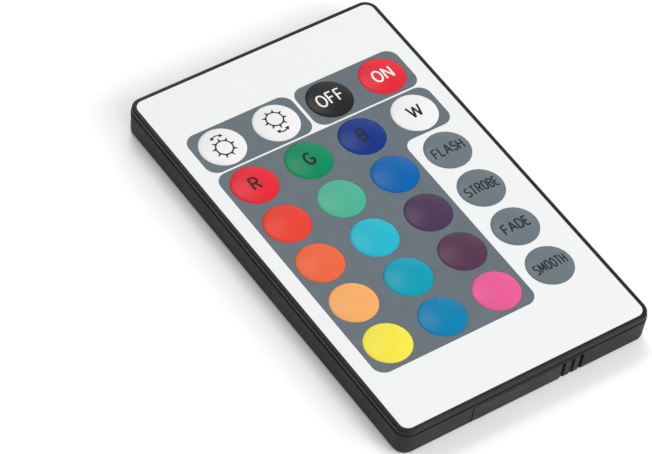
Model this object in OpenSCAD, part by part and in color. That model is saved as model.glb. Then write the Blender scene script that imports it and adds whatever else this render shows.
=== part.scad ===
// Slim remote control for coloured lighting, with 24 keys and a coin cell tray.
// Origin at the middle of the underside, +Z out of the key face, +Y to the far end.
// All sizes are in millimetres.

/* [Casing] */
// Distance from the outer columns of keys to the casing's sides
side_margin = 4.83; // [3.8:0.01:9]
// Distance from the last row of keys to the casing's near end
near_margin = 13.23; // [10:0.01:20]
// Distance from the first row of keys to the casing's far end
far_margin = 12.63; // [9:0.01:20]
// Radius of the upright corners at the seam
corner_r = 2.6; // [2.2:0.1:4]
// Lean of the lower walls, in degrees
draft = 3; // [1:0.5:5]
// Radius round the bottom edge
bottom_edge_r = 1; // [0.5:0.1:1.2]
// Thickness of the lower walls
wall_t = 1.2; // [1:0.1:1.4]
// Thickness of the floor
floor_t = 0.9; // [0.7:0.05:1]
// Depth of the lower casing's top edge below the key face
seam_drop = 1.2; // [1:0.05:1.3]
// Height of the shadow groove at the seam
groove_h = 0.2; // [0.1:0.05:0.45]
// Depth of the shadow groove at the seam
groove_d = 0.35; // [0.1:0.05:0.5]

/* [Upper frame] */
// Width of the rim round the overlay
rim_w = 0.75; // [0.5:0.05:1.2]
// Step from the lower casing's edge in to the rim
rim_inset = 0.15; // [0:0.05:0.3]
// Bevel round the rim's top edge
rim_bevel = 0.22; // [0.1:0.02:0.35]
// Height of the rim above the key face
rim_proud = 0.05; // [0:0.01:0.1]
// Thickness of the plate that carries the keys
plate_t = 0.9; // [0.8:0.05:1.1]
// Thickness of the skirt inside the lower walls
skirt_t = 0.8; // [0.6:0.05:1]
// Depth of the skirt below the plate
skirt_h = 0.85; // [0.6:0.05:1]
// Gap between the skirt and the lower walls
skirt_gap = 0.1; // [0.05:0.01:0.15]
// Length of each snap hook
hook_l = 4; // [2:0.5:6]
// Height of each snap hook
hook_h = 0.4; // [0.3:0.05:0.5]
// Reach of each snap hook past the skirt
hook_d = 0.35; // [0.2:0.05:0.45]

/* [Overlay] */
// Thickness of the printed overlay
overlay_t = 0.25; // [0.15:0.05:0.4]
// Radius of the overlay's corners
overlay_r = 1.6; // [0.8:0.1:2.5]
// Gap between the overlay and the rim
overlay_gap = 0.1; // [0.05:0.01:0.2]
// Thickness of the adhesive tape under the overlay
tape_t = 0.1; // [0.05:0.01:0.15]
// Thickness of the printed grey fields
ink_t = 0.05; // [0.02:0.01:0.1]
// Radius of the outer corners of the grey fields
ink_r = 2.3; // [1:0.1:3]
// Radius of the inner corner of the large grey field
ink_inner_r = 2; // [0.6:0.1:3]
// Grey margin beside the keys
ink_side = 1; // [0.6:0.05:1.2]
// Grey margin over and under the keys
ink_end = 0.55; // [0.3:0.01:0.6]
// Grey margin under the last row of keys
ink_foot = 0.9; // [0.5:0.05:2]
// White gap between the two top grey fields
ink_gap = 0.6; // [0.3:0.05:0.8]

/* [Keys] */
// Diameter of a key
key_d = 8.54; // [7.5:0.02:10]
// Space between the columns of keys
key_space_x = 2.66; // [2:0.02:4]
// Space between the rows of keys
key_space_y = 1.46; // [1.3:0.02:4]
// Height of a key above the key face
key_rise = 0.5; // [0.3:0.05:0.8]
// Height of the upright edge of a key
key_edge_h = 0.12; // [0.05:0.01:0.2]
// Radial gap between a key and the overlay
key_gap = 0.06; // [0.04:0.01:0.1]
// Travel of a key
key_travel = 0.25; // [0.1:0.05:0.25]
// Gap that stays under the flange of a pressed key
press_gap = 0.05; // [0.02:0.01:0.1]
// Width of the flange that holds a key under the overlay
flange_w = 0.4; // [0.3:0.05:0.45]
// Thickness of the flange
flange_t = 0.25; // [0.15:0.05:0.25]
// Radial gap round the flange
flange_gap = 0.12; // [0.08:0.01:0.15]
// Diameter of the plunger under a key
plunger_d = 4.2; // [3:0.1:5]
// Radial gap round the plunger
plunger_gap = 0.2; // [0.1:0.05:0.4]

/* [Switch domes] */
// Diameter of a snap dome
dome_d = 6; // [5:0.1:7]
// Height of a snap dome
dome_h = 0.3; // [0.25:0.01:0.3]
// Thickness of the dome's sheet metal
dome_t = 0.07; // [0.05:0.01:0.1]
// Gap between a dome and its plunger
dome_gap = 0.02; // [0.01:0.01:0.05]
// Thickness of the spacer film round the domes
film_t = 0.1; // [0.05:0.01:0.15]
// Radial gap between a dome and the film
film_gap = 0.3; // [0.1:0.05:0.6]

/* [Circuit board] */
// Height of the circuit board above the coin cell
board_lift = 0.25; // [0.2:0.05:3]
// Thickness of the circuit board
board_t = 0.8; // [0.6:0.05:0.9]
// Radius of the circuit board's corners
board_r = 1; // [0.5:0.1:2]
// Gap between the circuit board and the skirt
board_gap = 0.3; // [0.1:0.05:0.5]
// Gap between the switch domes and the plate
plate_gap = 0.05; // [0.03:0.01:0.1]
// Diameter of the posts that carry the board
post_d = 1.8; // [1.4:0.1:2]
// Diameter of the locating pegs on the posts
peg_d = 1; // [0.6:0.1:1.1]
// Radial gap between a peg and its hole
peg_gap = 0.1; // [0.05:0.01:0.15]

/* [Battery] */
// Diameter of the coin cell
cell_d = 20; // [19.6:0.1:20.4]
// Thickness of the coin cell
cell_h = 2.5; // [2:0.1:2.5]
// Width of the can's lip round the gasket
can_lip_w = 0.8; // [0.5:0.1:1.2]
// Height of the cap above the can
cap_step = 0.2; // [0.1:0.05:0.4]
// Width of the gasket round the cap
gasket_w = 0.5; // [0.3:0.05:0.8]
// Radial gap round the coin cell in its tray
cell_gap = 0.25; // [0.15:0.05:0.3]

/* [Battery tray] */
// Gap over and beside the tray's front
mouth_gap = 0.22; // [0.1:0.01:0.25]
// Height of the casing's bridge over the mouth
bridge_h = 0.4; // [0.3:0.05:0.5]
// Thickness of the tray's front
front_t = 1; // [0.8:0.05:1]
// Distance of the tray's underside above the casing's
tray_lift = 0.15; // [0.1:0.05:0.3]
// Thickness of the tray's walls beside and behind the coin cell
tray_wall_t = 1; // [0.8:0.05:1.2]
// Height of the tray's walls above the floor
tray_wall_h = 2.3; // [1.8:0.1:2.4]
// Thickness of the seat under the coin cell
seat_t = 1; // [0.9:0.05:1]
// Width of the casing floor's ledges beside the tray's keel
ledge_w = 1.4; // [1.2:0.1:1.5]
// Running gap under and beside the tray
tray_gap = 0.1; // [0.06:0.01:0.15]
// Thickness of the ribs round the tray
rib_t = 0.9; // [0.7:0.05:1.2]

/* [Tray latch] */
// Width of the latch's finger grip
grip_w = 3; // [2.6:0.1:3.2]
// Width of the gaps beside the finger grip
grip_gap = 0.75; // [0.7:0.05:0.8]
// Width of the groove between the grip's two ridges
grip_groove_w = 0.8; // [0.5:0.05:1]
// Depth of the groove between the grip's two ridges
grip_groove_d = 0.6; // [0.3:0.05:0.7]
// Thickness of the latch's arm
arm_t = 0.75; // [0.5:0.05:0.75]
// Gap between the arm and the coin cell's pocket
arm_gap = 0.1; // [0.1:0.05:0.3]
// Height of the arm
arm_h = 2.2; // [1.6:0.1:2.3]
// Length of the catch tooth
tooth_l = 0.8; // [0.5:0.1:0.9]
// Reach of the catch tooth past the arm
tooth_d = 0.65; // [0.4:0.05:0.65]
// Gap round the arm's root
root_gap = 0.06; // [0.05:0.01:0.1]

/* [Electronics] */
// Length of the controller chip
chip_l = 9.9; // [8:0.1:10.5]
// Width of the controller chip's body
chip_w = 3.9; // [3:0.1:5]
// Height of the controller chip
chip_h = 1.5; // [1:0.1:1.7]
// Distance between the controller chip's leads
lead_pitch = 1.27; // [1:0.01:1.3]
// Width of a lead
lead_w = 0.4; // [0.2:0.05:0.5]
// Thickness of a lead
lead_t = 0.15; // [0.1:0.01:0.25]
// Length of a lead's foot
lead_foot = 0.6; // [0.4:0.05:1]
// Width of a chip resistor or capacitor
smd_w = 0.8; // [0.5:0.05:1.2]
// Length of a chip resistor or capacitor
smd_l = 1.6; // [1:0.05:2]
// Height of a chip resistor
resistor_h = 0.45; // [0.3:0.05:0.6]
// Height of a chip capacitor
capacitor_h = 0.8; // [0.5:0.05:1]
// Width of the clock crystal
crystal_w = 2.5; // [2:0.1:3.2]
// Length of the clock crystal
crystal_l = 3.2; // [2.5:0.1:5]
// Height of the clock crystal
crystal_h = 0.8; // [0.5:0.05:1.2]
// Width of the radio resonator
resonator_w = 3.5; // [3:0.1:4]
// Length of the radio resonator
resonator_l = 5; // [4:0.1:6]
// Height of the radio resonator
resonator_h = 1.4; // [1:0.1:1.7]
// Width of the transistor's body
transistor_w = 1.3; // [1:0.1:1.6]
// Length of the transistor's body
transistor_l = 2.9; // [2.4:0.1:3.2]
// Height of the transistor
transistor_h = 1; // [0.7:0.05:1.2]
// Width of the tank capacitor
tank_w = 2.8; // [2:0.1:3.2]
// Length of the tank capacitor
tank_l = 3.5; // [3:0.1:4]
// Height of the tank capacitor
tank_h = 1.9; // [1.2:0.1:2]
// Width of the antenna's copper strip
antenna_w = 1.2; // [0.8:0.1:2]
// Thickness of the antenna's copper strip
antenna_t = 0.07; // [0.05:0.01:0.1]
// Thickness of the contact springs
spring_t = 0.12; // [0.08:0.01:0.12]
// Width of the contact on the coin cell's rim
rim_contact_w = 5; // [3:0.1:6]
// Width of the contact on the coin cell's cap
cap_contact_w = 3; // [2:0.1:4]
// Gap between the contact springs and the coin cell
contact_gap = 0.03; // [0.02:0.01:0.05]

/* [Hidden] */
$fn = 64;

// Overrun that keeps cuts clear of the faces they pass
cut = 0.5;
columns = 4;
rows = 6;
arc_steps = 10;
sphere_steps = 256;
chip_side_leads = 7;

// Grid of the keys, and the casing round it
key_pitch_x = key_d + key_space_x;
key_pitch_y = key_d + key_space_y;
casing_w = (columns - 1) * key_pitch_x + key_d + 2 * side_margin;
casing_l = (rows - 1) * key_pitch_y + key_d + near_margin + far_margin;
key_field_y = (near_margin - far_margin) / 2;

// Levels, from the underside up
slide_z = floor_t + tray_gap;
cell_z = tray_lift + seat_t;
cell_top_z = cell_z + cell_h;
board_z = cell_top_z + board_lift;
board_top_z = board_z + board_t;
plate_z = board_top_z + dome_h + plate_gap;
skirt_z = plate_z - skirt_h;
tape_z = plate_z + plate_t;
casing_h = tape_z + tape_t + overlay_t;
seam_z = casing_h - seam_drop;
rim_bottom_z = seam_z + groove_h;
rim_top_z = casing_h + rim_proud;
mouth_top_z = seam_z - bridge_h;

// Outlines in plan
rim_outer_w = casing_w - 2 * rim_inset;
rim_outer_l = casing_l - 2 * rim_inset;
rim_r = corner_r - rim_inset;
recess_w = rim_outer_w - 2 * rim_w;
recess_l = rim_outer_l - 2 * rim_w;
recess_r = overlay_r + overlay_gap;
overlay_w = recess_w - 2 * overlay_gap;
overlay_l = recess_l - 2 * overlay_gap;
inner_w = casing_w - 2 * wall_t;
inner_l = casing_l - 2 * wall_t;
inner_r = corner_r - wall_t;
skirt_w = inner_w - 2 * skirt_gap;
skirt_l = inner_l - 2 * skirt_gap;
board_w = skirt_w - 2 * (skirt_t + board_gap);
board_l = skirt_l - 2 * (skirt_t + board_gap);

// Keys
flange_d = key_d + 2 * flange_w;
flange_hole_d = flange_d + 2 * flange_gap;
flange_z = casing_h - overlay_t - flange_t;
pocket_z = flange_z - key_travel - press_gap;
plunger_z = board_top_z + dome_h + dome_gap;
plunger_hole_d = plunger_d + 2 * plunger_gap;
film_margin = (key_pitch_x - dome_d) / 4;

// Grey fields, measured from the middle of the key field
field_x = 1.5 * key_pitch_x + key_d / 2 + ink_side;
split_y = 2 * key_pitch_y;
band_gap = key_pitch_y - key_d - 2 * ink_end;
field_top = 2.5 * key_pitch_y + key_d / 2 + ink_end;
field_split_top = split_y + band_gap / 2;
field_split_low = split_y - band_gap / 2;
field_foot = -2.5 * key_pitch_y - key_d / 2 - ink_foot;
field_right = 0.5 * key_pitch_x + key_d / 2 + ink_side;
tab_foot = key_pitch_y + band_gap / 2;

// Battery tray
front_y = -casing_l / 2;
wall_in_y = front_y + wall_t;
front_in_y = front_y + front_t;
pocket_r = cell_d / 2 + cell_gap;
gasket_d = cell_d - 2 * can_lip_w;
cap_d = gasket_d - 2 * gasket_w;
cell_y = wall_in_y + cell_gap + pocket_r;
tray_x = pocket_r + tray_wall_t;
mouth_w = 2 * (tray_x + mouth_gap);
tray_end_y = cell_y + pocket_r + tray_wall_t;
bay_end_y = tray_end_y + mouth_gap;
keel_w = mouth_w - 2 * ledge_w - 2 * tray_gap;
keel_end_y = tray_end_y - tray_wall_t;
grip_x = mouth_w / 2 - grip_gap - grip_w;
arm_x = grip_x + grip_w - arm_t;
root_y = cell_y - sqrt(pocket_r * pocket_r - (arm_x - arm_gap) * (arm_x - arm_gap));
latch_notch_y = front_in_y + 2 * cell_gap;
tongue_gap_w = 1.6 * rim_contact_w;
catch_l = tooth_l + 2 * cell_gap;

// Places that fix the board to the casing, as shares of the board's half size
post_x = board_w / 2 - post_d / 2 - board_gap;
post_y_shares = [-0.9, 0.05, 0.9];
peg_shares = [-0.9, 0.9];
hook_side_shares = [-0.5, 0.1, 0.7];
hook_end_shares = [-0.5, 0.5];

// Places of the electronic parts, as shares of the board's half size
chip_share = [0, 0.36];
crystal_share = [0.42, 0.36];
resonator_share = [-0.1, 0.72];
transistor_share = [0.32, 0.7];
tank_share = [-0.62, -0.2];
antenna_shares = [0.88, 0.86, 0.52];
capacitor_shares = [
    [0.42, 0.27], [0.42, 0.45], [-0.42, 0.36], [0.1, 0.58], [0.5, 0.6], [-0.62, -0.08]
];
resistor_shares = [
    [-0.5, 0.22], [-0.5, 0.27], [-0.5, 0.45], [-0.5, 0.5],
    [0.1, 0.52], [0.32, 0.6], [0.5, 0.52], [0.62, 0.27]
];

// Bends of the two contact springs, as shares of their reach and drop
rim_spring_shares = [[0, 0], [0.7, 0], [0.75, 0.25], [1, 0.6], [0.7, 1]];
cap_spring_shares = [[0, 0], [0.3, 0], [0.65, 1], [0.85, 1], [1, 0.5]];

function board_place(share) = [share[0] * board_w / 2, share[1] * board_l / 2];

function key_place(column, row) = [
    (column - (columns - 1) / 2) * key_pitch_x,
    key_field_y + ((rows - 1) / 2 - row) * key_pitch_y
];

// Points of an arc, and the section of the lower casing outside its corner's axis
function arc(centre, r, from, to) = [
    for (i = [0:arc_steps])
        let (a = from + (to - from) * i / arc_steps)
        centre + r * [cos(a), sin(a)]
];
foot_x = corner_r - (bottom_edge_r - (bottom_edge_r - seam_z) * sin(draft)) / cos(draft);
function shell_section() = concat(
    [[0, 0]],
    arc([foot_x, bottom_edge_r], bottom_edge_r, -90, -draft),
    [[corner_r, seam_z], [0, seam_z]]
);

// Outline of a bent strip of even thickness along a list of points
function unit(v) = v / norm(v);
function bend_normal(p, i) =
    let (
        a = unit(p[max(i, 1)] - p[max(i, 1) - 1]),
        b = unit(p[min(i, len(p) - 2) + 1] - p[min(i, len(p) - 2)]),
        m = unit(a + b)
    )
    [-m[1], m[0]] / (m * a);
function strip_outline(p, t) = concat(
    [for (i = [0:len(p) - 1]) p[i] + bend_normal(p, i) * t / 2],
    [for (i = [len(p) - 1:-1:0]) p[i] - bend_normal(p, i) * t / 2]
);

module rounded(w, l, r) {
    square([w - 2 * r, l], center = true);
    square([w, l - 2 * r], center = true);
    for (x = [-1, 1], y = [-1, 1])
        translate([x * (w / 2 - r), y * (l / 2 - r)]) circle(r);
}

module rounded_slab(w, l, r, z, top) {
    translate([0, 0, z]) linear_extrude(top - z) rounded(w, l, r);
}

// A box between two corners
module block(low, high) {
    translate(low) cube(high - low);
}

// Carries a section round a rounded rectangle and fills the middle
module swept_block(w, l, r, z, top) {
    for (side = [0:3]) {
        across = side % 2 == 0 ? w / 2 - r : l / 2 - r;
        along = side % 2 == 0 ? l / 2 - r : w / 2 - r;
        rotate(90 * side) translate([across, along, 0]) {
            rotate([90, 0, 0]) linear_extrude(2 * along) children();
            rotate_extrude(angle = 90) children();
        }
    }
    block([r - w / 2, r - l / 2, z], [w / 2 - r, l / 2 - r, top]);
}

module shell_block() {
    swept_block(casing_w, casing_l, corner_r, 0, seam_z) polygon(shell_section());
}

module at_posts(shares) {
    for (x = [-1, 1], share = shares)
        translate([x * post_x, share * board_l / 2, 0]) children();
}

// Stands children on the skirt's outside at each snap hook
module at_hooks() {
    for (side = [0, 1], share = hook_side_shares)
        mirror([side, 0, 0]) translate([skirt_w / 2, share * skirt_l / 2, 0]) children();
    for (share = hook_end_shares)
        translate([share * skirt_w / 2, skirt_l / 2, 0]) rotate(90) children();
}

module hook(grow) {
    hook_z = skirt_z + hook_h / 2;
    block(
        [-skirt_t / 2, -hook_l / 2 - grow, hook_z - grow],
        [hook_d + grow, hook_l / 2 + grow, hook_z + hook_h + grow]
    );
}

module mouth_block(gap, y) {
    block([gap - mouth_w / 2, front_y - cut, -cut], [mouth_w / 2 - gap, y, mouth_top_z - gap]);
}

module lower_case() {
    color("#2b2a2a") difference() {
        union() {
            difference() {
                shell_block();
                rounded_slab(inner_w, inner_l, inner_r, floor_t, seam_z + cut);
                at_hooks() hook(tray_gap);
            }
            bay_ribs();
            at_posts(post_y_shares) block_post();
            at_posts(peg_shares) translate([0, 0, board_z]) cylinder(d = peg_d, h = board_t - peg_gap);
        }
        mouth_block(0, wall_in_y);
        block(
            [-keel_w / 2 - tray_gap, wall_in_y - cut, -cut],
            [keel_w / 2 + tray_gap, keel_end_y + tray_gap, floor_t + cut]
        );
    }
}

module block_post() {
    translate([0, 0, floor_t / 2]) cylinder(d = post_d, h = board_z - floor_t / 2);
}

module bay_ribs() {
    half = mouth_w / 2;
    base = floor_t / 2;
    block([-half - rib_t, wall_in_y - wall_t / 2, base], [-half, bay_end_y + rib_t, board_z]);
    block([half, wall_in_y + catch_l, base], [half + rib_t, bay_end_y + rib_t, board_z]);
    block([-half - rib_t, bay_end_y, base], [half + rib_t, bay_end_y + rib_t, board_z]);
}

module rim_section() {
    polygon([
        [0, rim_bottom_z], [rim_r, rim_bottom_z], [rim_r, rim_top_z - rim_bevel],
        [rim_r - rim_bevel, rim_top_z], [0, rim_top_z]
    ]);
}

module upper_frame() {
    neck = 2 * groove_d;
    color("#33312f") difference() {
        union() {
            swept_block(rim_outer_w, rim_outer_l, rim_r, rim_bottom_z, rim_top_z) rim_section();
            rounded_slab(rim_outer_w - neck, rim_outer_l - neck, rim_r - groove_d, seam_z, rim_bottom_z);
            difference() {
                union() {
                    rounded_slab(skirt_w, skirt_l, inner_r - skirt_gap, skirt_z, seam_z);
                    at_hooks() hook(0);
                }
                rounded_slab(skirt_w - 2 * skirt_t, skirt_l - 2 * skirt_t, board_r, skirt_z - cut, plate_z);
                mouth_block(-mouth_gap, wall_in_y + skirt_gap + skirt_t + cut);
            }
            at_posts(post_y_shares) translate([0, 0, board_top_z]) cylinder(d = post_d, h = plate_t);
        }
        rounded_slab(recess_w, recess_l, recess_r, tape_z, rim_top_z + cut);
        at_keys() {
            translate([0, 0, pocket_z]) cylinder(d = flange_hole_d, h = plate_t);
            translate([0, 0, plate_z - cut]) cylinder(d = plunger_hole_d, h = plate_t + cut);
        }
    }
}

module at_keys() {
    for (column = [0:columns - 1], row = [0:rows - 1])
        translate(key_place(column, row)) children();
}

module overlay_tape() {
    color("#d9d4c4") difference() {
        rounded_slab(overlay_w, overlay_l, overlay_r, tape_z, tape_z + tape_t);
        at_keys() translate([0, 0, tape_z - cut]) cylinder(d = flange_hole_d, h = tape_t + 2 * cut);
    }
}

module face_overlay() {
    color("#f2f2f0") difference() {
        rounded_slab(overlay_w, overlay_l, overlay_r, casing_h - overlay_t, casing_h);
        at_keys() translate([0, 0, casing_h - overlay_t - cut])
            cylinder(d = key_d + 2 * key_gap, h = overlay_t + 2 * cut);
        translate([0, 0, casing_h - ink_t]) linear_extrude(ink_t + cut) fields(key_gap / 2);
    }
}

// A rounded rectangle between two corners, drawn in by an edge gap
module field(x0, y0, x1, y1, gap) {
    translate([(x0 + x1) / 2, (y0 + y1) / 2 + key_field_y])
        rounded(x1 - x0 - 2 * gap, y1 - y0 - 2 * gap, ink_r - gap);
}

module fields(grow) {
    field(-field_x, field_split_top, -ink_gap / 2, field_top, -grow);
    field(ink_gap / 2, field_split_top, field_x, field_top, -grow);
    field(-field_x, field_foot, field_right, field_split_low, -grow);
    field(0, tab_foot, field_x, field_split_low, -grow);
    inner_r = ink_inner_r - grow;
    translate([field_right + grow, tab_foot - grow + key_field_y]) difference() {
        translate([-cut, -inner_r]) square([inner_r + cut, inner_r + cut]);
        translate([inner_r, -inner_r]) circle(inner_r);
    }
}

module grey_fields() {
    color("#6b757c") difference() {
        translate([0, 0, casing_h - ink_t]) linear_extrude(ink_t) fields(0);
        at_keys() translate([0, 0, casing_h - ink_t - cut])
            cylinder(d = key_d + 2 * key_gap, h = ink_t + 2 * cut);
    }
}

module key(place) {
    dome_rise = key_rise - key_edge_h;
    dome_r = (key_d * key_d / 4 + dome_rise * dome_rise) / (2 * dome_rise);
    translate(place) {
        intersection() {
            translate([0, 0, flange_z + flange_t / 2])
                cylinder(d = key_d, h = casing_h + key_rise - flange_z);
            translate([0, 0, casing_h + key_rise - dome_r]) sphere(dome_r, $fn = sphere_steps);
        }
        translate([0, 0, flange_z]) cylinder(d = flange_d, h = flange_t);
        translate([0, 0, plunger_z]) cylinder(d = plunger_d, h = flange_z + flange_t / 2 - plunger_z);
    }
}

// Section of a snap dome: the arc of its top and the smaller arc of its hollow
module dome_section() {
    dome_r = (dome_d * dome_d / 4 + dome_h * dome_h) / (2 * dome_h);
    centre = [0, dome_h - dome_r];
    hollow_r = dome_r - dome_t;
    top_start = asin((dome_r - dome_h) / dome_r);
    hollow_start = asin((dome_r - dome_h) / hollow_r);
    polygon(concat(
        arc(centre, dome_r, top_start, 90),
        arc(centre, hollow_r, 90, hollow_start)
    ));
}

module snap_domes() {
    color("#c9ccd0") at_keys() translate([0, 0, board_top_z]) rotate_extrude() dome_section();
}

module dome_spacer_film() {
    film_w = (columns - 1) * key_pitch_x + dome_d + 2 * film_margin;
    film_l = (rows - 1) * key_pitch_y + dome_d + 2 * film_margin;
    color("#d8dde0") difference() {
        translate([0, key_field_y, 0])
            rounded_slab(film_w, film_l, board_r, board_top_z, board_top_z + film_t);
        at_keys() translate([0, 0, board_top_z - cut])
            cylinder(d = dome_d + 2 * film_gap, h = film_t + 2 * cut);
    }
}

module circuit_board() {
    color("#3b6b45") difference() {
        rounded_slab(board_w, board_l, board_r, board_z, board_top_z);
        at_posts(peg_shares) translate([0, 0, board_z - cut])
            cylinder(d = peg_d + 2 * peg_gap, h = board_t + 2 * cut);
    }
}

// Places a part on the board's underside, standing down from it
module under_board(share) {
    translate(board_place(share)) translate([0, 0, board_z]) mirror([0, 0, 1]) children();
}

module slab(w, l, h, z) {
    translate([-w / 2, -l / 2, z]) cube([w, l, h]);
}

// A row of bent leads along one side of a chip
module leads(count, pitch, body_w, body_h) {
    for (i = [0:count - 1])
        translate([(i - (count - 1) / 2) * pitch - lead_w / 2, body_w / 2 + lead_t, 0]) {
            cube([lead_w, lead_foot, lead_t]);
            cube([lead_w, lead_t, body_h / 2]);
            translate([0, -2 * lead_t, body_h / 2 - lead_t]) cube([lead_w, 3 * lead_t, lead_t]);
        }
}

module controller_chip() {
    color("#1f2022") under_board(chip_share) {
        slab(chip_l, chip_w, chip_h - lead_t, lead_t);
        for (side = [0, 180]) rotate(side) leads(chip_side_leads, lead_pitch, chip_w, chip_h);
    }
}

module clock_crystal() {
    color("#c4c4bd") under_board(crystal_share) slab(crystal_w, crystal_l, crystal_h, 0);
}

module radio_resonator() {
    color("#c9c3a6") under_board(resonator_share) {
        slab(resonator_l, resonator_w, resonator_h / 2, 0);
        slab(resonator_l - lead_w, resonator_w - lead_w, resonator_h, 0);
    }
}

module rf_transistor() {
    color("#1f2022") under_board(transistor_share) {
        slab(transistor_l, transistor_w, transistor_h - lead_t, lead_t);
        leads(1, lead_pitch, transistor_w, transistor_h);
        rotate(180) leads(2, 1.5 * lead_pitch, transistor_w, transistor_h);
    }
}

module tank_capacitor() {
    color("#c48a2c") under_board(tank_share) slab(tank_w, tank_l, tank_h, 0);
}

module chip_capacitors() {
    color("#b59a78") for (share = capacitor_shares) under_board(share) slab(smd_l, smd_w, capacitor_h, 0);
}

module chip_resistors() {
    color("#2a2b2e") for (share = resistor_shares) under_board(share) slab(smd_l, smd_w, resistor_h, 0);
}

module loop_antenna() {
    half = antenna_shares[0] * board_w / 2;
    far = antenna_shares[1] * board_l / 2 + antenna_w;
    near = antenna_shares[2] * board_l / 2;
    color("#c07a45") translate([0, 0, board_z - antenna_t]) linear_extrude(antenna_t) {
        for (x = [-half, half - antenna_w]) translate([x, near]) square([antenna_w, far - near]);
        translate([-half, far - antenna_w]) square([2 * half, antenna_w]);
        translate([-half, near]) square([half - chip_l / 2, antenna_w]);
    }
}

// A sheet metal spring bent in the plane along the casing
module spring(points, w) {
    rotate([90, 0, 90]) translate([0, 0, -w / 2]) linear_extrude(w) polygon(strip_outline(points, spring_t));
}

module cell_rim_contact() {
    start = [bay_end_y - mouth_gap, board_z - spring_t / 2];
    reach = start[0] - (cell_y + cell_d / 2) - contact_gap - spring_t;
    drop = board_z - cell_z - 2 * spring_t;
    color("#c8c6bd")
        spring([for (share = rim_spring_shares) start - [share[0] * reach, share[1] * drop]], rim_contact_w);
}

module cell_cap_contact() {
    start = [cell_y - cell_d / 4, board_z - spring_t / 2];
    drop = board_z - cell_top_z - contact_gap - spring_t;
    color("#c8c6bd") spring(
        [for (share = cap_spring_shares) start + [share[0] * cell_d / 2, -share[1] * drop]], cap_contact_w
    );
}

module cell_can() {
    can_h = cell_h - cap_step;
    color("#bfc1c2") translate([0, cell_y, cell_z]) difference() {
        cylinder(d = cell_d, h = can_h);
        translate([0, 0, can_h / 2]) cylinder(d = gasket_d, h = can_h);
    }
}

module cell_gasket() {
    can_h = cell_h - cap_step;
    color("#3f4245") translate([0, cell_y, cell_z + can_h / 2]) difference() {
        cylinder(d = gasket_d - contact_gap, h = can_h / 2);
        translate([0, 0, -cut]) cylinder(d = cap_d + contact_gap, h = can_h);
    }
}

module cell_cap() {
    color("#cfd1d3") translate([0, cell_y, cell_z + (cell_h - cap_step) / 2])
        cylinder(d = cap_d, h = (cell_h + cap_step) / 2);
}

// The tray's front follows the casing, less the room that the latch takes
module tray_front() {
    intersection() {
        shell_block();
        difference() {
            mouth_block(mouth_gap, front_in_y);
            block([grip_x - grip_gap, front_y - cut, -cut], [mouth_w / 2, front_in_y + cut, seam_z]);
            block([-mouth_w / 2, front_y - cut, -cut], [mouth_w / 2, front_in_y + cut, tray_lift]);
        }
    }
}

module battery_tray() {
    wall_top_z = floor_t + tray_wall_h;
    over_z = wall_top_z + cut;
    back = front_in_y - front_t / 2;
    color("#2d2c2c") {
        difference() {
            union() {
                block([-keel_w / 2, back, tray_lift], [keel_w / 2, keel_end_y, slide_z + tray_gap]);
                block([-tray_x, back, slide_z], [tray_x, tray_end_y, wall_top_z]);
            }
            translate([0, cell_y, cell_z]) cylinder(r = pocket_r, h = cell_h);
            block([-tongue_gap_w / 2, cell_y, cell_z], [tongue_gap_w / 2, tray_end_y + cut, over_z]);
            block([grip_x - grip_gap, front_y, -cut], [mouth_w / 2, latch_notch_y, over_z]);
            block([arm_x - grip_gap, front_y, slide_z - cut / 2], [mouth_w / 2, root_y, over_z]);
            block(
                [-tray_x - cut, back - cut, slide_z - cut],
                [-keel_w / 2, wall_in_y + tray_gap, over_z]
            );
        }
        tray_front();
    }
}

module tray_latch() {
    grip_end = grip_x + grip_w;
    groove_x = grip_x + (grip_w - grip_groove_w) / 2;
    arm_z = slide_z + tray_gap / 2;
    color("#2f2e2e") {
        intersection() {
            shell_block();
            difference() {
                block([grip_x, front_y - cut, tray_lift], [grip_end, front_in_y, mouth_top_z - mouth_gap]);
                block(
                    [groove_x, front_y - cut, -cut],
                    [groove_x + grip_groove_w, front_y + grip_groove_d, seam_z]
                );
            }
        }
        block([arm_x, front_in_y - front_t / 2, arm_z], [grip_end, root_y - root_gap, arm_z + arm_h]);
        translate([grip_end, wall_in_y + tray_gap, arm_z + arm_h / 4]) linear_extrude(arm_h / 2)
            polygon([
                [-arm_t / 2, 0], [tooth_d, 0], [tooth_d, tooth_l / 3],
                [0, tooth_l], [-arm_t / 2, tooth_l]
            ]);
    }
}

module key_brighter() { color("#f2f2f0") key(key_place(0, 0)); }
module key_dimmer() { color("#f2f2f0") key(key_place(1, 0)); }
module key_off() { color("#2a2725") key(key_place(2, 0)); }
module key_on() { color("#e5202e") key(key_place(3, 0)); }
module key_red() { color("#e5283a") key(key_place(0, 1)); }
module key_green() { color("#0f8f5b") key(key_place(1, 1)); }
module key_blue() { color("#263a92") key(key_place(2, 1)); }
module key_white() { color("#f6f6f4") key(key_place(3, 1)); }
module key_light_red() { color("#e4453f") key(key_place(0, 2)); }
module key_sea_green() { color("#27a58c") key(key_place(1, 2)); }
module key_mid_blue() { color("#1468b4") key(key_place(2, 2)); }
module key_flash() { color("#6b757c") key(key_place(3, 2)); }
module key_orange() { color("#ea6a34") key(key_place(0, 3)); }
module key_cyan() { color("#18a6c8") key(key_place(1, 3)); }
module key_purple() { color("#3b2a5c") key(key_place(2, 3)); }
module key_strobe() { color("#6b757c") key(key_place(3, 3)); }
module key_apricot() { color("#f2a23c") key(key_place(0, 4)); }
module key_teal() { color("#0f8ba0") key(key_place(1, 4)); }
module key_plum() { color("#7d3a78") key(key_place(2, 4)); }
module key_fade() { color("#6b757c") key(key_place(3, 4)); }
module key_yellow() { color("#f9e23a") key(key_place(0, 5)); }
module key_sky_blue() { color("#0a86bc") key(key_place(1, 5)); }
module key_pink() { color("#ea5494") key(key_place(2, 5)); }
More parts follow.
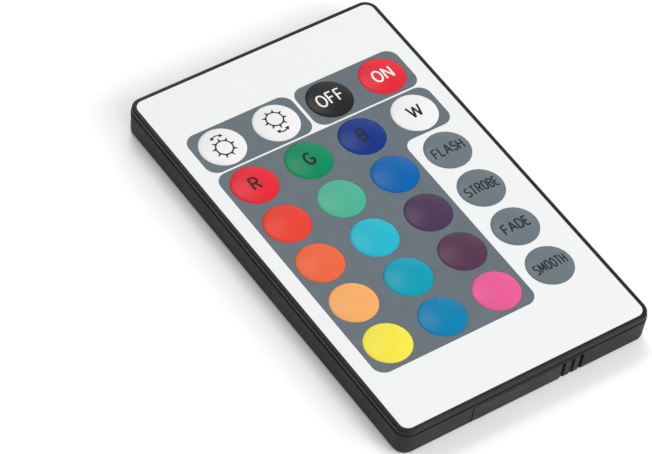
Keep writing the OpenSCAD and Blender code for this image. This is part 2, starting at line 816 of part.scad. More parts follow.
module key_smooth() { color("#6b757c") key(key_place(3, 5)); }

lower_case();
upper_frame();
overlay_tape();
face_overlay();
grey_fields();
battery_tray();
tray_latch();
cell_can();
cell_gasket();
cell_cap();
circuit_board();
snap_domes();
dome_spacer_film();
controller_chip();
clock_crystal();
radio_resonator();
rf_transistor();
tank_capacitor();
chip_capacitors();
chip_resistors();
loop_antenna();
cell_rim_contact();
cell_cap_contact();
key_brighter();
key_dimmer();
key_off();
key_on();
key_red();
key_green();
key_blue();
key_white();
key_light_red();
key_sea_green();
key_mid_blue();
key_flash();
key_orange();
key_cyan();
key_purple();
key_strobe();
key_apricot();
key_teal();
key_plum();
key_fade();
key_yellow();
key_sky_blue();
key_pink();
key_smooth();
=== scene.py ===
"""The looks of a slim remote control for coloured lighting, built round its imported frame."""

import math

import bmesh
import bpy
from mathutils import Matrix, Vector, geometry


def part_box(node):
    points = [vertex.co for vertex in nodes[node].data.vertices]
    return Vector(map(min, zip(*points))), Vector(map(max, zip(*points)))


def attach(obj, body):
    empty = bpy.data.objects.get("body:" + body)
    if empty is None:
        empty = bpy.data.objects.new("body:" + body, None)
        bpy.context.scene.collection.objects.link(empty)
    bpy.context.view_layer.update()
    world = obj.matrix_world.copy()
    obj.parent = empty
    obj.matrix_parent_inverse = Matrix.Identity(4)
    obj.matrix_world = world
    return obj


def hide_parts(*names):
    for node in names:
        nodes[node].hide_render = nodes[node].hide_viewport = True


MM = 0.001
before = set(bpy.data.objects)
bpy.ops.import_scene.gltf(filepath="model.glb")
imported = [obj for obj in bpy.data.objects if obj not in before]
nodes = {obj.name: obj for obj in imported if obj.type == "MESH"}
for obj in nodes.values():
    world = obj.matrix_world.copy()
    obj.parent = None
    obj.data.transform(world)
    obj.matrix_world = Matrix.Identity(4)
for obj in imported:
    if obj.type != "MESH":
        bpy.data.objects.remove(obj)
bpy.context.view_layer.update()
scene = bpy.context.scene

# Camera at the photograph's viewing angle, in metres, degrees and millimetres of focal length. These
# numbers come from a program that fitted a camera to the photograph
CAMERA_PLACE = (-0.29441, -0.33236, 0.51137)
CAMERA_ANGLES = (40.63, -5.165, -34.30)
CAMERA_LENS = 217.6
CAMERA_NEAR = 0.01
CAMERA_FAR = 10

# The studio: each lamp's place and size in metres and its power in watts, and the even light all round
LAMPS = {
    "front_softbox": ((0.0, -0.57, 0.43), (0.5, 0.45), 1.8),
    "key_softbox": ((0.151, 0.466, 0.755), (0.3, 0.3), 2.38),
    "back_panel": ((0.59, 0.66, 0.44), (0.6, 0.24), 1.15),
    "rim_glint": ((0.27, -0.5, 0.33), (0.25, 0.22), 0.9),
    "edge_glint": ((0.72, -0.12, 0.2), (0.12, 0.12), 0.5),
}
WORLD_STRENGTH = 0.4
FLOOR_HALF = 3.0
PAPER_MOTTLE = 40 * MM
PAPER_ROUGHNESS = 0.95
PAPER_LIFT = 0.14

# Rounded edges, in metres: moulded pieces, fine ones, the frame's rim, a key's lip, the cell's can and cap
EDGE_ROUND = 0.09 * MM
FINE_ROUND = 0.04 * MM
RIM_ROUND = 0.05 * MM
KEY_EDGE_ROUND = 0.17 * MM
CAN_ROUND = 0.12 * MM
CAP_ROUND = 0.15 * MM
EDGE_SEGMENTS = 3

# Angles in degrees: what counts as flat and as an edge, and where shading breaks
FLAT_ANGLE = 0.4
FINE_FLAT_ANGLE = 0.1
EDGE_ANGLE = 30
EDGE_SHADE_BREAK = 50
SHADE_BREAK = 40

# How finely meshes are cut and welded
WELD_DISTANCE = 0.001 * MM
OUTLINE_WELD = 1e-8
TRIANGLES_INSIDE = 1
DRAPE_STEP = 0.45 * MM
CIRCLE_STEPS = 96
ARC_STEPS = 24
CORNER_STEPS = 16
NOTCH_STEPS = 12
BOWL_STEPS = 14
LIP_STEPS = 8
DOME_STEPS = 20

# Heights of the print, in metres
INK_HEIGHT = 0.006 * MM
LEGEND_HEIGHT = 0.009 * MM
LEGEND_SINK = 0.004 * MM

# The keys' sizes, in metres. A key's top stays below its solid's peak by the sink
KEY_RADIUS = 4.27 * MM
KEY_CLEARANCE = 0.02 * MM
KEY_SINK = 0.02 * MM
KEY_LIP = 0.06 * MM
FLANGE_THICKNESS = 0.25 * MM
PLUNGER_RADIUS = 2.1 * MM

# A key's skin
KEY_ROUGHNESS = 0.3
KEY_GLOSS = 0.1

# The printed face, in metres
OVERLAY_RADIUS = 1.6 * MM
FIELD_RADIUS = 2.3 * MM
FIELD_INNER_RADIUS = 2.0 * MM
FIELD_MARGIN = 1.0 * MM
FIELD_TAB_DROP = 0.18 * MM
FIELD_GAP = 0.3 * MM
BAND_GAP = 0.18 * MM

# Colours as they look on the real thing, in sRGB from 0 to 255
BLACK = (0, 0, 0)
WHITE = (255, 255, 255)
BLACK_INK = (24, 22, 22)
WHITE_INK = (245, 244, 242)
SLATE_INK = (100, 111, 119)
SLATE_KEY = (109, 121, 128)
PALE_KEY = (243, 244, 243)
RED_KEY = (232, 39, 55)
OVERLAY_WHITE = (241, 242, 242)
CASE_BLACK = (54, 52, 51)
RIM_BLACK = (36, 35, 34)
TRAY_BLACK = (53, 51, 50)
CAN_STEEL = (184, 186, 188)
CAP_STEEL = (192, 194, 196)
PAPER_DARK = (251, 251, 251)
PAPER_PALE = (253, 253, 253)

face_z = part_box("face_overlay")[1].z


def linear(colour):
    """An sRGB colour from 0 to 255 as the linear colour that a shader takes."""
    parts = [c / 255 for c in colour]
    return tuple(c / 12.92 if c <= 0.04045 else ((c + 0.055) / 1.055) ** 2.4 for c in parts) + (1.0,)


def blended(colour, other, share):
    """An sRGB colour moved by a share towards another."""
    return tuple(a + (b - a) * share for a, b in zip(colour, other))


class Shader:
    """A material's node tree, with short calls for the nodes that the materials here use."""

    NOISE_ROUGHNESS = 0.55
    NOISE_DETAIL = 3.0
    NOISE_LOW, NOISE_HIGH = 0.3, 0.7
    MIX_FACTOR, MIX_FIRST, MIX_SECOND, MIX_RESULT = 0, 6, 7, 2

    def __init__(self, name, **constants):
        self.material = bpy.data.materials.new(name)
        self.material.use_nodes = True
        self.tree = self.material.node_tree
        self.bsdf = self.tree.nodes["Principled BSDF"]
        for socket, value in constants.items():
            self.bsdf.inputs[socket.replace("_", " ")].default_value = value
        self.place = self.node("ShaderNodeTexCoord").outputs["Object"]

    def node(self, kind, **settings):
        made = self.tree.nodes.new(kind)
        for key, value in settings.items():
            setattr(made, key, value)
        return made

    def link(self, source, target):
        self.tree.links.new(source, target)
        return self

    def noise(self, size, detail=NOISE_DETAIL, stretch=(1, 1, 1)):
        """Noise whose features are about that size, in metres."""
        mapping = self.node("ShaderNodeMapping")
        mapping.inputs["Scale"].default_value = [s / size for s in stretch]
        texture = self.node("ShaderNodeTexNoise")
        texture.inputs["Scale"].default_value = 1.0
        texture.inputs["Detail"].default_value = detail
        texture.inputs["Roughness"].default_value = self.NOISE_ROUGHNESS
        self.link(self.place, mapping.inputs["Vector"])
        self.link(mapping.outputs["Vector"], texture.inputs["Vector"])
        return texture.outputs["Fac"]

    def spread(self, value, low, high, start=NOISE_LOW, end=NOISE_HIGH):
        """A value between start and end as a number between low and high."""
        ranged = self.node("ShaderNodeMapRange")
        for socket, number in (("From Min", start), ("From Max", end), ("To Min", low), ("To Max", high)):
            ranged.inputs[socket].default_value = number
        self.link(value, ranged.inputs["Value"])
        return ranged.outputs["Result"]

    def tone(self, value, dark, pale):
        """The surface's colour: from a dark sRGB colour to a pale one as a noise goes up."""
        mixed = self.node("ShaderNodeMix", data_type="RGBA")
        self.link(self.spread(value, 0, 1), mixed.inputs[self.MIX_FACTOR])
        mixed.inputs[self.MIX_FIRST].default_value = linear(dark)
        mixed.inputs[self.MIX_SECOND].default_value = linear(pale)
        return self.link(mixed.outputs[self.MIX_RESULT], self.bsdf.inputs["Base Color"])

    def roughness(self, value, middle, less, more):
        """The surface's roughness: up to that much less and more than the middle, by a noise."""
        spread = self.spread(value, middle - less, middle + more)
        return self.link(spread, self.bsdf.inputs["Roughness"])

    def bump(self, height, depth):
        """Bumps of that depth, in metres, from a height between 0 and 1."""
        bump = self.node("ShaderNodeBump")
        bump.inputs["Strength"].default_value = 1.0
        bump.inputs["Distance"].default_value = depth
        self.link(height, bump.inputs["Height"])
        return self.link(bump.outputs["Normal"], self.bsdf.inputs["Normal"])


def moulded_plastic(name, colour, roughness, gloss=0.1, grain=0.16 * MM):
    """Moulded plastic: a fine spark-eroded grain, cloudy changes of tone and of gloss."""
    shader = Shader(name, Specular_IOR_Level=gloss)
    dark, pale = blended(colour, BLACK, share=0.06), blended(colour, WHITE, share=0.03)
    shader.tone(shader.noise(6 * MM, detail=4), dark, pale)
    shader.roughness(shader.noise(1.5 * MM, detail=5), roughness, less=0.05, more=0.06)
    shader.bump(shader.noise(grain, detail=2), depth=0.006 * MM)
    return shader.material


def printed_film(name, colour, roughness, mottle=1.5 * MM, change=0.025, gloss=0.5):
    """Printed plastic film: an even colour with a faint mottle and an orange-peel surface."""
    shader = Shader(name, Specular_IOR_Level=gloss)
    dark, pale = blended(colour, BLACK, change), blended(colour, WHITE, change)
    shader.tone(shader.noise(mottle, detail=5), dark, pale)
    shader.roughness(shader.noise(0.6 * MM), roughness, less=0.04, more=0.04)
    shader.bump(shader.noise(0.35 * MM, detail=2), depth=0.0015 * MM)
    return shader.material


def key_material(name, colour):
    """A key's printed silicone film: a deep even colour under a satin skin."""
    shader = Shader(name, Specular_IOR_Level=KEY_GLOSS)
    dark, pale = blended(colour, BLACK, share=0.02), blended(colour, WHITE, share=0.012)
    shader.tone(shader.noise(2.5 * MM, detail=4), dark, pale)
    shader.roughness(shader.noise(0.8 * MM, detail=4), KEY_ROUGHNESS, less=0.02, more=0.04)
    shader.bump(shader.noise(0.3 * MM, detail=2), depth=0.0012 * MM)
    return shader.material


def metal(name, colour, roughness, stretch=(1, 1, 1)):
    """Sheet metal with rolled or turned marks, drawn out along the small stretches."""
    shader = Shader(name, Metallic=1.0)
    marks = shader.noise(0.25 * MM, detail=4, stretch=stretch)
    shader.tone(marks, blended(colour, BLACK, share=0.1), colour)
    shader.roughness(shader.noise(1.2 * MM), roughness, less=0.03, more=0.04)
    shader.bump(marks, depth=0.0008 * MM)
    return shader.material


def white_paper():
    """Diffuse white paper, lifted to white where the camera sees it, straight or by reflection."""
    shader = Shader("white_paper", Roughness=PAPER_ROUGHNESS, Specular_IOR_Level=0.0)
    shader.tone(shader.noise(PAPER_MOTTLE), PAPER_DARK, PAPER_PALE)
    path = shader.node("ShaderNodeLightPath")
    seen = path.outputs["Is Camera Ray"]
    for ray in ("Is Glossy Ray", "Is Transmission Ray"):
        either = shader.node("ShaderNodeMath", operation="MAXIMUM")
        shader.link(seen, either.inputs[0]).link(path.outputs[ray], either.inputs[1])
        seen = either.outputs[0]
    shader.bsdf.inputs["Emission Color"].default_value = linear(WHITE)
    shader.link(shader.spread(seen, 0, PAPER_LIFT, 0, 1), shader.bsdf.inputs["Emission Strength"])
    return shader.material


def finish_piece(name, bm, material, body, slot, stands_for=(), sharp=SHADE_BREAK):
    """Makes a piece of the object from a mesh, in its place in the frame."""
    bmesh.ops.recalc_face_normals(bm, faces=bm.faces)
    mesh = bpy.data.meshes.new(name)
    bm.to_mesh(mesh)
    bm.free()
    mesh.shade_smooth()
    mesh.set_sharp_from_angle(angle=math.radians(sharp))
    piece = bpy.data.objects.new(name, mesh)
    scene.collection.objects.link(piece)
    mesh.materials.append(material)
    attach(piece, body)
    if stands_for:
        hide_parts(*stands_for)
    return piece


def softened(node, name, material, body, width=EDGE_ROUND):
    """A CAD node's shape with its moulded edges rounded, in place of that node."""
    bm = bmesh.new()
    bm.from_mesh(nodes[node].data)
    bmesh.ops.remove_doubles(bm, verts=bm.verts, dist=WELD_DISTANCE)
    bmesh.ops.dissolve_limit(bm, angle_limit=math.radians(FLAT_ANGLE), verts=bm.verts, edges=bm.edges)
    edges = [e for e in bm.edges if e.is_manifold and e.calc_face_angle() > math.radians(EDGE_ANGLE)]
    bmesh.ops.bevel(
        bm, geom=edges, offset=width, segments=EDGE_SEGMENTS, profile=0.5,
        affect="EDGES", clamp_overlap=True, harden_normals=False,
    )
    piece = finish_piece(name, bm, material, body, node, [node], sharp=EDGE_SHADE_BREAK)
    piece.modifiers.new("even_shading", "WEIGHTED_NORMAL").keep_sharp = True
    return piece


def circle(centre, radius):
    """Points all round a circle."""
    angles = [2 * math.pi * i / CIRCLE_STEPS for i in range(CIRCLE_STEPS)]
    return [centre + radius * Vector((math.cos(a), math.sin(a))) for a in angles]


def arc(centre, radius, start, end, steps=ARC_STEPS):
    """Points on an arc, from one angle to another, in degrees. radius may be a pair, for an oval."""
    across, up = radius if isinstance(radius, tuple) else (radius, radius)
    angles = [math.radians(start + (end - start) * i / steps) for i in range(steps + 1)]
    return [Vector((centre[0] + across * math.cos(a), centre[1] + up * math.sin(a))) for a in angles]


def rounded_rectangle(low, high, radius):
    """The outline of a rectangle between two corners, with round corners."""
    left, right = low[0] + radius, high[0] - radius
    near, far = low[1] + radius, high[1] - radius
    points = []
    for centre, start in (((right, far), 0), ((left, far), 90), ((left, near), 180), ((right, near), 270)):
        points.extend(arc(centre, radius, start, start + 90, CORNER_STEPS))
    return points


def turned_left(outline):
    """The outline in the turning direction that leaves its inside on the left."""
    area = sum(a.cross(b) for a, b in zip(outline, [*outline[1:], outline[0]]))
    return outline if area > 0 else outline[::-1]


def region(shapes, holes=(), band=None, step=None):
    """A flat mesh of every place inside one of the shapes and in no hole, with no overlaps.
    Where a band is given, only what is inside it stays. Where a step is given, lines that far
    apart cut the mesh, so that it can bend."""
    verts, faces, edges = [], [], []
    for outline in [*shapes, *holes, *([band] if band else [])]:
        faces.append(list(range(len(verts), len(verts) + len(outline))))
        verts.extend(turned_left([Vector(p) for p in outline]))
    if step:
        low = Vector([min(v[i] for v in verts) for i in (0, 1)])
        high = Vector([max(v[i] for v in verts) for i in (0, 1)])
        for axis in (0, 1):
            count = int((high[axis] - low[axis]) / step) + 1
            for i in range(1, count):
                start, end = low.copy(), high.copy()
                start[axis] = end[axis] = low[axis] + (high[axis] - low[axis]) * i / count
                edges.append((len(verts), len(verts) + 1))
                verts.extend((start, end))
    cut = geometry.delaunay_2d_cdt(verts, edges, faces, TRIANGLES_INSIDE, OUTLINE_WELD)
    points, _, cells, _, _, origin = cut
    first_hole, first_band = len(shapes), len(shapes) + len(holes)
    kept = [
        cell for cell, of in zip(cells, origin)
        if any(i < first_hole for i in of)
        and not any(first_hole <= i < first_band for i in of)
        and (band is None or any(i == first_band for i in of))
    ]
    return points, kept


def slab(points, cells, top, bottom):
    """A closed thin solid over a flat mesh. top and bottom give its heights at a point."""
    bm = bmesh.new()
    used = sorted({i for cell in cells for i in cell})
    upper = {i: bm.verts.new((points[i].x, points[i].y, top(points[i]))) for i in used}
    lower = {i: bm.verts.new((points[i].x, points[i].y, bottom(points[i]))) for i in used}
    seen = {}
    for cell in cells:
        bm.faces.new([upper[i] for i in cell])
        bm.faces.new([lower[i] for i in reversed(cell)])
        for a, b in zip(cell, [*cell[1:], cell[0]]):
            seen[frozenset((a, b))] = None if frozenset((a, b)) in seen else (a, b)
    for side in filter(None, seen.values()):
        a, b = side
        bm.faces.new([upper[b], upper[a], lower[a], lower[b]])
    return bm


def flat_slab(shapes, holes, z, top_z):
    """A closed thin solid between two heights, inside the shapes and in no hole."""
    points, cells = region(shapes, holes)
    bm = slab(points, cells, lambda p: top_z, lambda p: z)
    bmesh.ops.dissolve_limit(bm, angle_limit=math.radians(FINE_FLAT_ANGLE), verts=bm.verts, edges=bm.edges)
    return bm


def lathe(profile, centre):
    """Turns a profile of radius and height pairs, which starts and ends on the axis, round it."""
    bm = bmesh.new()
    rings = []
    for radius, z in profile:
        spin = circle(centre, radius) if radius else [centre]
        rings.append([bm.verts.new((p.x, p.y, z)) for p in spin])
    for a, b in zip(rings, rings[1:]):
        for i in range(CIRCLE_STEPS):
            j = (i + 1) % CIRCLE_STEPS
            corners = [a[i % len(a)], a[j % len(a)], b[j % len(b)], b[i % len(b)]]
            bm.faces.new(list(dict.fromkeys(corners)))
    return bm


MITRE_LIMIT = 0.35


def ribbon(line, width):
    """The outline of a stroke of even width along a line of points."""
    points = [Vector(p) for p in line]
    sides = ([], [])
    for i, p in enumerate(points):
        before = (p - points[i - 1]).normalized() if i else None
        after = (points[i + 1] - p).normalized() if i + 1 < len(points) else before
        before = before or after
        across = (before + after).normalized()
        across = Vector((-across.y, across.x))
        reach = width / 2 / max(MITRE_LIMIT, across.dot(Vector((-before.y, before.x))))
        sides[0].append(p + across * reach)
        sides[1].append(p - across * reach)
    return sides[0] + sides[1][::-1]


def bowl(x, y, across, up, start, end):
    """The points of a letter's round stroke, as shares of the letter."""
    return [tuple(p) for p in arc((x, y), (across, up), start, end, BOWL_STEPS)]


# Each letter's width beside the others, and its strokes, as shares of its own width and height
LETTER_SHARES = {
    "A": (0.66, [[(0, 0), (0.5, 1)], [(0.5, 1), (1, 0)], [(0.17, 0.33), (0.83, 0.33)]]),
    "B": (0.54, [
        [(0, 0), (0, 1)],
        [(0, 1), *bowl(0.55, 0.765, 0.4, 0.235, 90, -90), (0, 0.53)],
        [(0, 0.53), *bowl(0.58, 0.265, 0.42, 0.265, 90, -90), (0, 0)],
    ]),
    "D": (0.58, [[(0, 0), (0, 1)], [(0, 1), *bowl(0.4, 0.5, 0.6, 0.5, 90, -90), (0, 0)]]),
    "E": (0.46, [[(0, 0), (0, 1)], [(0, 1), (1, 1)], [(0, 0.53), (0.9, 0.53)], [(0, 0), (1, 0)]]),
    "F": (0.46, [[(0, 0), (0, 1)], [(0, 1), (1, 1)], [(0, 0.52), (0.9, 0.52)]]),
    "G": (0.62, [
        bowl(0.55, 0.5, 0.55, 0.5, 48, 352),
        [(1.05, 0.46), (0.62, 0.46)],
        [(1.0, 0.46), (1.0, 0.1)],
    ]),
    "H": (0.58, [[(0, 0), (0, 1)], [(1, 0), (1, 1)], [(0, 0.52), (1, 0.52)]]),
    "L": (0.44, [[(0, 1), (0, 0)], [(0, 0), (1, 0)]]),
    "M": (0.76, [[(0, 0), (0, 1)], [(0, 1), (0.5, 0.2)], [(0.5, 0.2), (1, 1)], [(1, 1), (1, 0)]]),
    "N": (0.6, [[(0, 0), (0, 1)], [(0, 1), (1, 0)], [(1, 0), (1, 1)]]),
    "O": (0.64, [bowl(0.5, 0.5, 0.5, 0.5, 90, 270), bowl(0.5, 0.5, 0.5, 0.5, 270, 450)]),
    "R": (0.56, [
        [(0, 0), (0, 1)],
        [(0, 1), *bowl(0.55, 0.75, 0.45, 0.25, 90, -90), (0, 0.5)],
        [(0.5, 0.5), (1.02, 0)],
    ]),
    "S": (0.52, [[*bowl(0.5, 0.76, 0.46, 0.24, 30, 270), *bowl(0.5, 0.26, 0.5, 0.26, 90, -150)[1:]]]),
    "T": (0.56, [[(0.5, 0), (0.5, 1)], [(0, 1), (1, 1)]]),
    "W": (0.94, [
        [(0, 1), (0.25, 0)],
        [(0.25, 0), (0.5, 0.9)],
        [(0.5, 0.9), (0.75, 0)],
        [(0.75, 0), (1, 1)],
    ]),
}
LETTER_GAP = 0.1 * MM


def lettering(word, width, height, stroke, gap=LETTER_GAP):
    """The strokes of a word of that width and height round (0, 0), and the band that levels their ends."""
    space = stroke + gap
    scale = (width - stroke - space * (len(word) - 1)) / sum(LETTER_SHARES[c][0] for c in word)
    shapes, x = [], -(width - stroke) / 2
    for letter in word:
        wide, lines = LETTER_SHARES[letter]
        for line in lines:
            placed = [(x + px * wide * scale, (py - 0.5) * (height - stroke)) for px, py in line]
            shapes.append(ribbon(placed, stroke))
        x += wide * scale + space
    return shapes, [(-width, -height / 2), (width, -height / 2), (width, height / 2), (-width, height / 2)]


SUN_RADIUS = 1.55 * MM
SUN_SHIFT = 0.6 * MM
SUN_STROKE = 0.27 * MM
RAYS = 9
RAY_END = 2.3 * MM
RAY_FOOT_W = 0.5 * MM
RAY_TIP_W = 0.12 * MM
ARROW_RADIUS = 1.3 * MM
ARROW_PEAK = 2.45 * MM
ARROW_HALF_ANGLE = 36
ARROW_HEAD_W = 0.9 * MM
ARROW_HEAD_L = 0.63 * MM
ARROW_HEAD_BACK = 0.1 * MM
ARROW_STROKE = 0.25 * MM


def sun_icon(way):
    """A sun with a double-ended arrow beyond it. way is 1 with the arrow above and -1 below."""
    middle = Vector((0, -way * SUN_SHIFT))
    shapes = [circle(middle, SUN_RADIUS + SUN_STROKE / 2)]
    holes = [circle(middle, SUN_RADIUS - SUN_STROKE / 2)]
    for i in range(RAYS):
        a = math.radians(90 * way + 360 * i / RAYS)
        out = Vector((math.cos(a), math.sin(a)))
        side = Vector((-out.y, out.x))
        foot, tip = middle + out * SUN_RADIUS, middle + out * RAY_END
        shapes.append([
            foot - side * RAY_FOOT_W / 2, tip - side * RAY_TIP_W / 2,
            tip + side * RAY_TIP_W / 2, foot + side * RAY_FOOT_W / 2,
        ])
    hub = Vector((0, way * (ARROW_PEAK - ARROW_RADIUS)))
    line = arc(hub, ARROW_RADIUS, 90 * way - ARROW_HALF_ANGLE, 90 * way + ARROW_HALF_ANGLE)
    shapes.append(ribbon(line, ARROW_STROKE))
    for end, inner in ((line[0], line[1]), (line[-1], line[-2])):
        along = (end - inner).normalized()
        side = Vector((-along.y, along.x)) * ARROW_HEAD_W / 2
        back = end - along * ARROW_HEAD_BACK
        shapes.append([end + along * ARROW_HEAD_L, back + side, back - side])
    return shapes, holes


# The keys: colour, legend, and the legend's width, height, stroke and gap between letters in metres.
# The colours come, to within a few units, from a program that compared the render with the photograph.
# They are not a free choice
LETTER = 3.0 * MM
KEYS = {
    "key_brighter": (PALE_KEY, "sun_up"),
    "key_dimmer": (PALE_KEY, "sun_down"),
    "key_off": ((38, 37, 38), "OFF", 5.3 * MM, 2.9 * MM, 0.34 * MM, 0.28 * MM),
    "key_on": (RED_KEY, "ON", 4.05 * MM, 2.85 * MM, 0.38 * MM, 0.24 * MM),
    "key_red": (RED_KEY, "R", 1.83 * MM, LETTER, 0.46 * MM),
    "key_green": ((4, 140, 92), "G", 1.95 * MM, LETTER, 0.46 * MM),
    "key_blue": ((20, 52, 134), "B", 1.74 * MM, LETTER, 0.46 * MM),
    "key_white": (PALE_KEY, "W", 2.85 * MM, LETTER, 0.42 * MM),
    "key_light_red": ((235, 66, 50), None),
    "key_sea_green": ((80, 180, 148), None),
    "key_mid_blue": ((4, 100, 175), None),
    "key_flash": (SLATE_KEY, "FLASH", 6.35 * MM, 2.3 * MM, 0.3 * MM),
    "key_orange": ((240, 104, 65), None),
    "key_cyan": ((36, 185, 206), None),
    "key_purple": ((78, 54, 86), None),
    "key_strobe": (SLATE_KEY, "STROBE", 6.7 * MM, 2.25 * MM, 0.28 * MM),
    "key_apricot": ((250, 175, 104), None),
    "key_teal": ((4, 160, 184), None),
    "key_plum": ((88, 54, 80), None),
    "key_fade": (SLATE_KEY, "FADE", 5.5 * MM, 2.3 * MM, 0.32 * MM),
    "key_yellow": ((250, 234, 74), None),
    "key_sky_blue": ((4, 130, 178), None),
    "key_pink": ((236, 94, 150), None),
    "key_smooth": (SLATE_KEY, "SMOOTH", 6.5 * MM, 2.25 * MM, 0.27 * MM),
}
WHITE_LEGENDS = ("key_off", "key_on")


class Dome:
    """The domed top of a key: its place, its peak and the height of its surface at a point."""

    def __init__(self, node):
        self.low, self.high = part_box(node)
        self.centre = Vector(((self.low.x + self.high.x) / 2, (self.low.y + self.high.y) / 2))
        self.peak = self.high.z - KEY_SINK
        rise = self.peak - face_z - KEY_LIP
        self.radius = (KEY_RADIUS ** 2 + rise ** 2) / (2 * rise)

    def height(self, point):
        reach = min((point - self.centre).length, KEY_RADIUS)
        return self.peak - self.radius + math.sqrt(self.radius ** 2 - reach ** 2)


def key_profile(dome):
    """Radius and height pairs from the plunger's foot up, round the lip and over the dome."""
    flange_radius = (dome.high.x - dome.low.x) / 2
    flange_z = face_z - 2 * FLANGE_THICKNESS
    flange_top = flange_z + FLANGE_THICKNESS
    lip_centre = (KEY_RADIUS - KEY_EDGE_ROUND, face_z + KEY_LIP - KEY_EDGE_ROUND)
    slope = math.degrees(math.asin(KEY_RADIUS / dome.radius))
    lip = arc(lip_centre, KEY_EDGE_ROUND, 0, 90 - slope, LIP_STEPS)
    start = math.degrees(math.acos(lip[-1].x / dome.radius))
    over = arc((0, dome.peak - dome.radius), dome.radius, start, 90, DOME_STEPS)
    return [
        (0, dome.low.z),
        (PLUNGER_RADIUS - FINE_ROUND, dome.low.z),
        (PLUNGER_RADIUS, dome.low.z + FINE_ROUND),
        (PLUNGER_RADIUS, flange_z),
        (flange_radius - FINE_ROUND, flange_z),
        (flange_radius, flange_z + FINE_ROUND),
        (flange_radius, flange_top - FINE_ROUND),
        (flange_radius - FINE_ROUND, flange_top),
        (KEY_RADIUS, flange_top),
        *[tuple(p) for p in lip],
        *[tuple(p) for p in over[1:-1]],
        (0, dome.peak),
    ]


def legend_piece(node, dome, legend, ink):
    """A key's legend, as a thin film of ink draped over its dome."""
    shapes, holes, band = [], [], None
    if legend[0].startswith("sun"):
        shapes, holes = sun_icon(1 if legend[0] == "sun_up" else -1)
    else:
        shapes, band = lettering(*legend)
    moved = [[Vector(p) + dome.centre for p in s] for s in shapes]
    cut = [[Vector(p) + dome.centre for p in s] for s in holes]
    trim = [Vector(p) + dome.centre for p in band] if band else None
    points, cells = region(moved, cut, trim, DRAPE_STEP)

    def top(point):
        return dome.height(point) + LEGEND_HEIGHT

    def bottom(point):
        return dome.height(point) - LEGEND_SINK

    bm = slab(points, cells, top, bottom)
    return finish_piece(node.replace("key_", "legend_"), bm, ink, node, node)


def make_keys():
    """The keys, each with its own colour and, where it has one, its legend."""
    white = printed_film("legend_white", WHITE_INK, roughness=0.4, gloss=0.15)
    black = printed_film("legend_black", BLACK_INK, roughness=0.45, gloss=0.15)
    for node, (colour, *legend) in KEYS.items():
        dome = Dome(node)
        skin = key_material(node + "_film", colour)
        finish_piece(node + "_cap", lathe(key_profile(dome), dome.centre), skin, node, node, [node])
        if legend[0]:
            legend_piece(node, dome, legend, white if node in WHITE_LEGENDS else black)


def make_face():
    """The white face plate and the grey fields printed on it, with a hole for every key."""
    centres = {node: Dome(node).centre for node in KEYS}
    holes = [circle(centre, KEY_RADIUS + KEY_CLEARANCE) for centre in centres.values()]
    low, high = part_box("face_overlay")
    film = printed_film(
        "overlay_film", OVERLAY_WHITE, roughness=0.46, mottle=9 * MM, change=0.008, gloss=0.2,
    )
    bm = flat_slab([rounded_rectangle(low, high, OVERLAY_RADIUS)], holes, low.z, face_z)
    finish_piece("face_film", bm, film, "casing", "face_overlay", ["face_overlay"])

    low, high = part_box("grey_fields")
    ink = printed_film("field_ink", SLATE_INK, roughness=0.42, mottle=3 * MM, change=0.02, gloss=0.15)
    first, second, third = (centres[node].y for node in ("key_brighter", "key_red", "key_light_red"))
    split = (first + second) / 2
    right = centres["key_blue"].x + KEY_RADIUS + FIELD_MARGIN
    tab_low = (second + third) / 2 + FIELD_TAB_DROP
    notch = (right + FIELD_INNER_RADIUS, tab_low - FIELD_INNER_RADIUS)
    shapes = [
        rounded_rectangle((low.x, split + BAND_GAP), (-FIELD_GAP, high.y), FIELD_RADIUS),
        rounded_rectangle((FIELD_GAP, split + BAND_GAP), (high.x, high.y), FIELD_RADIUS),
        rounded_rectangle((low.x, low.y), (right, split - BAND_GAP), FIELD_RADIUS),
        rounded_rectangle((0, tab_low), (high.x, split - BAND_GAP), FIELD_RADIUS),
        [
            (right - FIELD_MARGIN, tab_low + FIELD_MARGIN),
            (right - FIELD_MARGIN, notch[1]),
            *arc(notch, FIELD_INNER_RADIUS, 180, 90, NOTCH_STEPS),
            (notch[0], tab_low + FIELD_MARGIN),
        ],
    ]
    bm = flat_slab(shapes, holes, low.z, face_z + INK_HEIGHT)
    finish_piece("field_print", bm, ink, "casing", "grey_fields", ["grey_fields"])


def make_casing():
    """The dark shells, the cell's tray and its latch."""
    case = moulded_plastic("lower_case_plastic", CASE_BLACK, roughness=0.5, gloss=0.06)
    rim = moulded_plastic("upper_frame_plastic", RIM_BLACK, roughness=0.3, gloss=0.12)
    softened("lower_case", "lower_shell", case, "casing")
    softened("upper_frame", "upper_shell", rim, "casing", width=RIM_ROUND)
    tray = moulded_plastic("tray_plastic", TRAY_BLACK, roughness=0.5)
    softened("battery_tray", "tray_body", tray, "tray")
    latch = moulded_plastic("latch_plastic", TRAY_BLACK, roughness=0.5)
    softened("tray_latch", "latch_grip", latch, "latch")


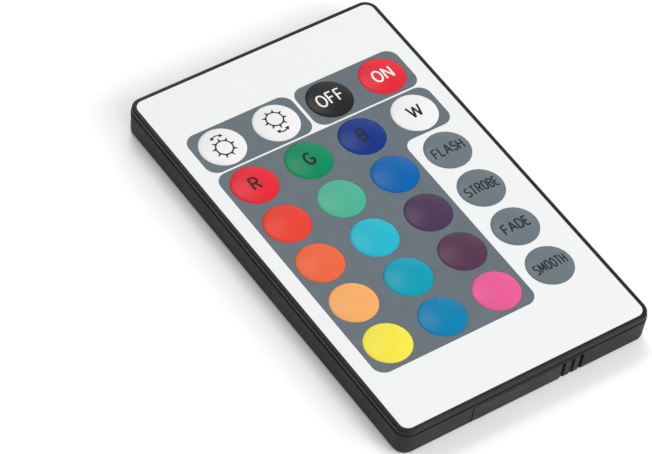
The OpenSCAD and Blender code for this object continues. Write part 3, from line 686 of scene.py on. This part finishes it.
# The looks of what is inside: each material's maker, colour, roughness and further settings
INSIDE = {
    "solder_mask": (printed_film, (34, 92, 56), 0.3, {"mottle": 0.8 * MM, "change": 0.08}),
    "spacer_film": (printed_film, (214, 220, 222), 0.3, {}),
    "adhesive": (printed_film, (222, 216, 200), 0.6, {"mottle": 0.5 * MM, "change": 0.05}),
    "dome_steel": (metal, (205, 208, 212), 0.28, {}),
    "chip_epoxy": (moulded_plastic, (30, 31, 33), 0.55, {"grain": 0.08 * MM}),
    "crystal_can": (metal, (200, 200, 195), 0.3, {}),
    "resonator_can": (metal, (205, 198, 170), 0.32, {}),
    "tantalum_shell": (printed_film, (200, 140, 46), 0.4, {"mottle": 0.4 * MM, "change": 0.06}),
    "ceramic": (printed_film, (182, 156, 122), 0.45, {"mottle": 0.2 * MM, "change": 0.08}),
    "resistor_glaze": (printed_film, (36, 37, 40), 0.35, {"mottle": 0.2 * MM, "change": 0.05}),
    "antenna_copper": (metal, (196, 122, 72), 0.35, {}),
    "spring_steel": (metal, (204, 202, 194), 0.25, {"stretch": (1, 0.05, 1)}),
    "gasket_rubber": (printed_film, (58, 60, 62), 0.55, {"mottle": 0.5 * MM}),
}
DRESSED = {
    "solder_mask": ["circuit_board"],
    "spacer_film": ["dome_spacer_film"],
    "adhesive": ["overlay_tape"],
    "dome_steel": ["snap_domes"],
    "chip_epoxy": ["controller_chip", "rf_transistor"],
    "crystal_can": ["clock_crystal"],
    "resonator_can": ["radio_resonator"],
    "tantalum_shell": ["tank_capacitor"],
    "ceramic": ["chip_capacitors"],
    "resistor_glaze": ["chip_resistors"],
    "antenna_copper": ["loop_antenna"],
    "spring_steel": ["cell_rim_contact", "cell_cap_contact"],
    "gasket_rubber": ["cell_gasket"],
}


def make_inside():
    """Materials for the inner nodes, and the coin cell's rounded can and cap."""
    for name, (maker, colour, roughness, settings) in INSIDE.items():
        material = maker(name, colour, roughness, **settings)
        for node in DRESSED[name]:
            nodes[node].material_slots[0].material = material
    can = metal("can_steel", CAN_STEEL, roughness=0.56)
    cap = metal("cap_steel", CAP_STEEL, roughness=0.58)
    softened("cell_can", "cell_can_body", can, "tray", width=CAN_ROUND)
    softened("cell_cap", "cell_cap_disc", cap, "tray", width=CAP_ROUND)


def area_light(name, place, size, power):
    """A rectangular lamp that faces the object."""
    lamp = bpy.data.lights.new(name, "AREA")
    lamp.shape = "RECTANGLE"
    lamp.size, lamp.size_y = size
    lamp.energy = power
    holder = bpy.data.objects.new(name, lamp)
    holder.location = place
    holder.rotation_euler = (-Vector(place)).to_track_quat("-Z", "Y").to_euler()
    scene.collection.objects.link(holder)


def make_stage():
    """The paper floor, just under the object, the even light all round and the lamps."""
    bm = bmesh.new()
    signs = ((-1, -1), (1, -1), (1, 1), (-1, 1))
    bm.faces.new([bm.verts.new((x * FLOOR_HALF, y * FLOOR_HALF, -FINE_ROUND)) for x, y in signs])
    mesh = bpy.data.meshes.new("floor")
    bm.to_mesh(mesh)
    bm.free()
    floor = bpy.data.objects.new("floor", mesh)
    scene.collection.objects.link(floor)
    mesh.materials.append(white_paper())

    world = bpy.data.worlds.new("studio")
    scene.world = world
    world.use_nodes = True
    sky = world.node_tree.nodes["Background"]
    sky.inputs["Color"].default_value = linear(WHITE)
    sky.inputs["Strength"].default_value = WORLD_STRENGTH
    for name, (place, size, power) in LAMPS.items():
        area_light(name, place, size, power)


def make_camera():
    camera = bpy.data.cameras.new("camera")
    camera.lens = CAMERA_LENS
    camera.clip_start, camera.clip_end = CAMERA_NEAR, CAMERA_FAR
    holder = bpy.data.objects.new("camera", camera)
    holder.location = CAMERA_PLACE
    holder.rotation_euler = [math.radians(a) for a in CAMERA_ANGLES]
    scene.collection.objects.link(holder)
    scene.camera = holder


make_camera()
make_casing()
make_face()
make_keys()
make_inside()
make_stage()
scene.view_settings.view_transform = "Standard"
